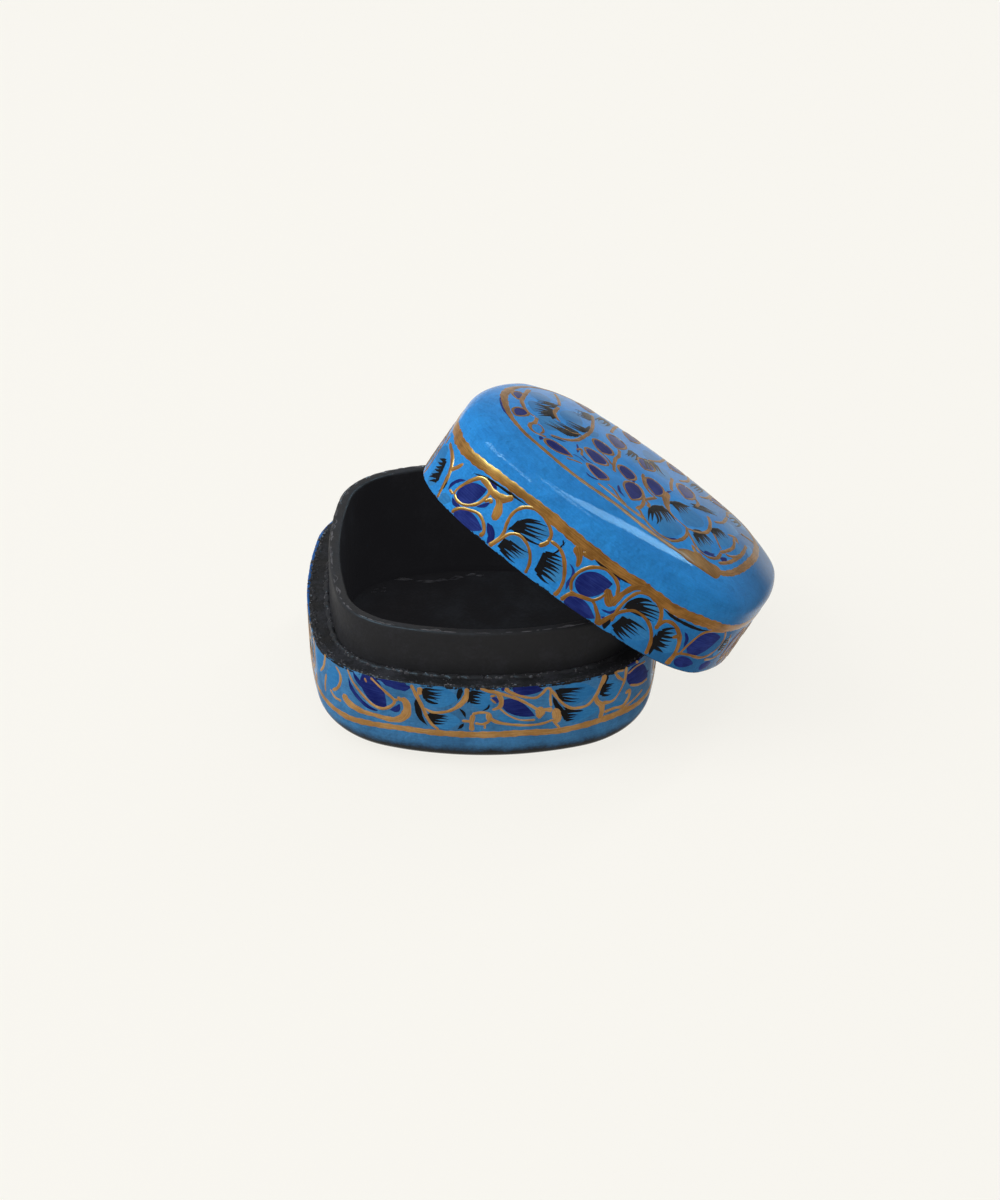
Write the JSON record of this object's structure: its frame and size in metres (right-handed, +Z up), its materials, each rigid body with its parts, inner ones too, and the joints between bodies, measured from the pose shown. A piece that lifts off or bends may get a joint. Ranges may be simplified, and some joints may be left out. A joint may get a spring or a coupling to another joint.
{
  "type": "lidded box",
  "caption": "Small papier mache box with bowed sides, a stepped ledge and inner collar, and a loose pillow-topped lid leaning on the base.",
  "frame": {"origin": "centre of the base's flat underside, on the table", "axes": "+Z up out of the open base, +X across the box towards the side where the lid leans, +Y along the box away from the viewer"},
  "size_m": [0.0855, 0.0787, 0.0555],
  "materials": {
    "base_shell": "satin",
    "inner_collar": "satin",
    "lid_shell": "satin"
  },
  "bodies": {
    "base": {"base_shell": "base_shell", "inner_collar": "inner_collar"},
    "lid": {"lid_shell": "lid_shell"}
  },
  "joints": [
    {"name": "lid_lift", "type": "slide", "parent": "base", "child": "lid", "axis": [0.5604, 0.1616, 0.8123], "range_m": [0, 0.04]}
  ]
}
